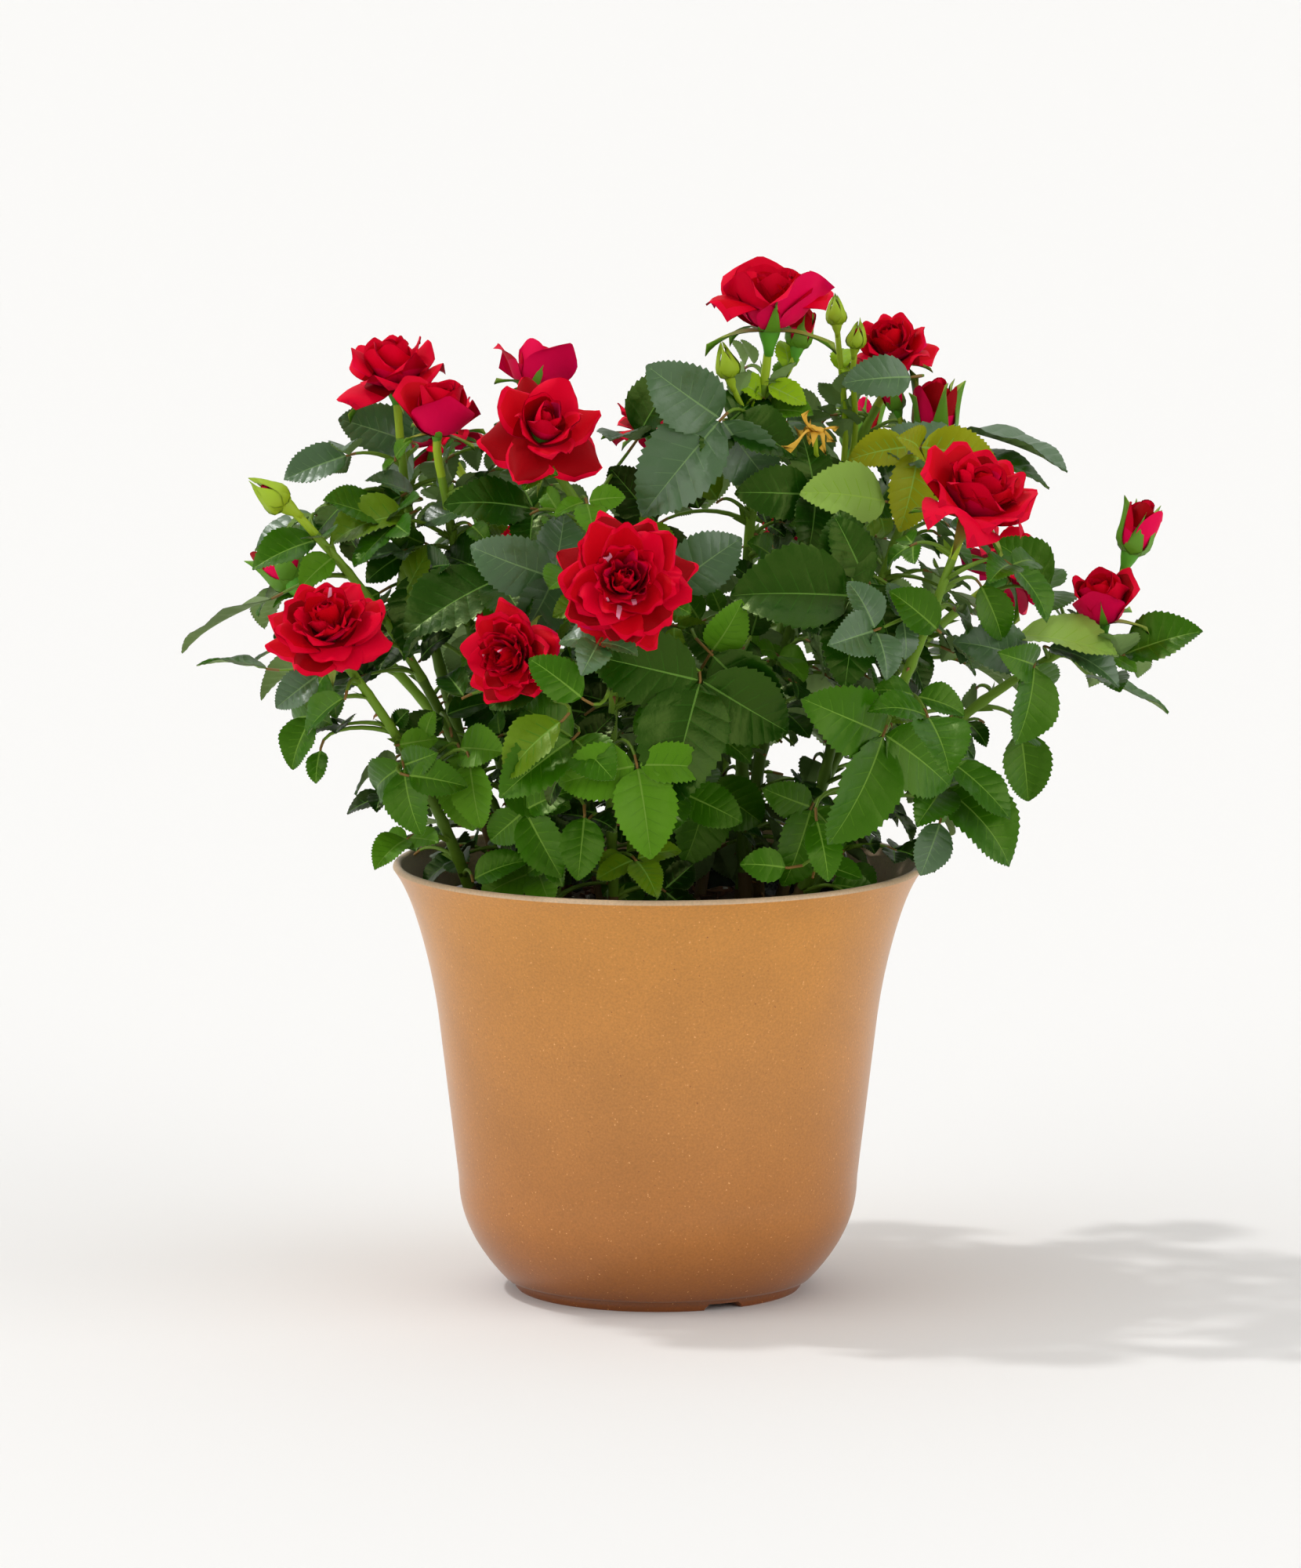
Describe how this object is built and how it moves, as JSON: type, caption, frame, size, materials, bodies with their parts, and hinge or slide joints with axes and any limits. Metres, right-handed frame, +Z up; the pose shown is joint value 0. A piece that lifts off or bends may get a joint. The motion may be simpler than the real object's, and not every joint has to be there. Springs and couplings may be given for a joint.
{
  "type": "potted miniature rose bush",
  "caption": "Miniature rose bush in flower in a flared pot: canes rise from the potting mix in a liner, and each ends in its own spray of leaves, buds and blooms",
  "frame": {"origin": "the middle of the pot's flat underside, which stands on the surface", "axes": "+Z up, +X to the plant's right seen from the front, +Y to its back"},
  "size_m": [0.295, 0.2244, 0.3032],
  "materials": {
    "pot": "matte",
    "liner": "satin",
    "potting_mix": "matte",
    "cane": "satin",
    "foliage": "satin",
    "petals": "matte"
  },
  "bodies": {
    "root": {"pot": "pot", "liner": "liner", "potting_mix": "potting_mix", "cane_left_low": "cane", "cane_left_reaching": "cane", "cane_left_tall": "cane", "cane_left_front": "cane", "cane_left_inner": "cane", "cane_middle_low": "cane", "cane_middle_front": "cane", "cane_middle_tall": "cane", "cane_right_tallest": "cane", "cane_right_inner": "cane", "cane_right_back": "cane", "cane_right_front": "cane", "cane_right_reaching": "cane", "cane_back_1": "cane", "cane_back_2": "cane", "cane_back_3": "cane", "cane_back_4": "cane", "cane_back_5": "cane", "cane_back_6": "cane", "cane_back_7": "cane", "spray_left_low": "foliage", "spray_left_reaching": "foliage", "spray_left_tall": "foliage", "spray_left_front": "foliage", "spray_left_inner": "foliage", "spray_middle_low": "foliage", "spray_middle_front": "foliage", "spray_middle_tall": "foliage", "spray_right_tallest": "foliage", "spray_right_inner": "foliage", "spray_right_back": "foliage", "spray_right_front": "foliage", "spray_right_reaching": "foliage", "spray_back_1": "foliage", "spray_back_2": "foliage", "spray_back_3": "foliage", "spray_back_4": "foliage", "spray_back_5": "foliage", "spray_back_6": "foliage", "spray_back_7": "foliage"}
  },
  "joints": []
}
